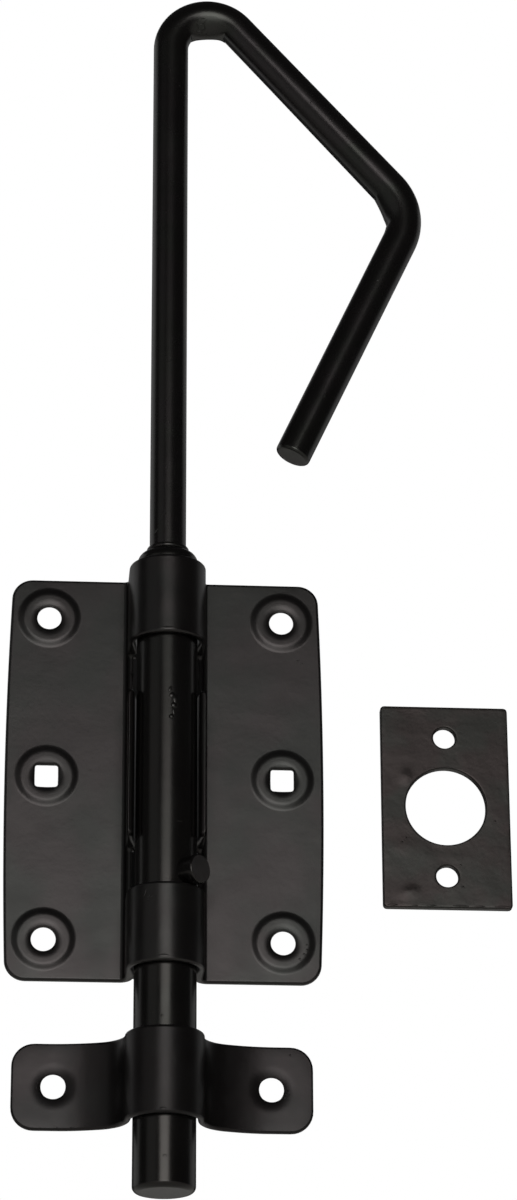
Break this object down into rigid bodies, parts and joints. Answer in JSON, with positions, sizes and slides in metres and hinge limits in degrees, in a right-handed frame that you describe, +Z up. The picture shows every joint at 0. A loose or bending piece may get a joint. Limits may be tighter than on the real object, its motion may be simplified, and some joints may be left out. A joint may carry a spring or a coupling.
{
  "type": "slide bolt",
  "caption": "Slide bolt with a bent rod handle: a round bar slides and turns in a pressed back plate, with a strap keep and a flat strike plate.",
  "frame": {"origin": "middle of the back plate's screw pattern, on the plate's back face, which lies on the door", "axes": "+Z up along the bar, away from its thrown end; +X to the handle's side; -Y out of the door towards the user"},
  "size_m": [0.1577, 0.0273, 0.4054],
  "materials": {
    "sheet_paint": "satin",
    "bar_paint": "semi-gloss"
  },
  "bodies": {
    "fixed_parts": {"back_plate": "sheet_paint", "keep": "sheet_paint", "strike_plate": "sheet_paint"},
    "sliding_bar": {"bolt": "bar_paint"},
    "turning_handle": {"handle": "bar_paint", "stop_pin": "bar_paint"}
  },
  "joints": [
    {"name": "bolt_slide", "type": "slide", "parent": "fixed_parts", "child": "sliding_bar", "axis": [0, 0, 1], "range_m": [0, 0.0715]},
    {"name": "bolt_turn", "type": "hinge", "parent": "sliding_bar", "child": "turning_handle", "pos_m": [0, -0.0142, 0.08], "axis": [0, 0, 1], "range_deg": [-135, 5]}
  ]
}
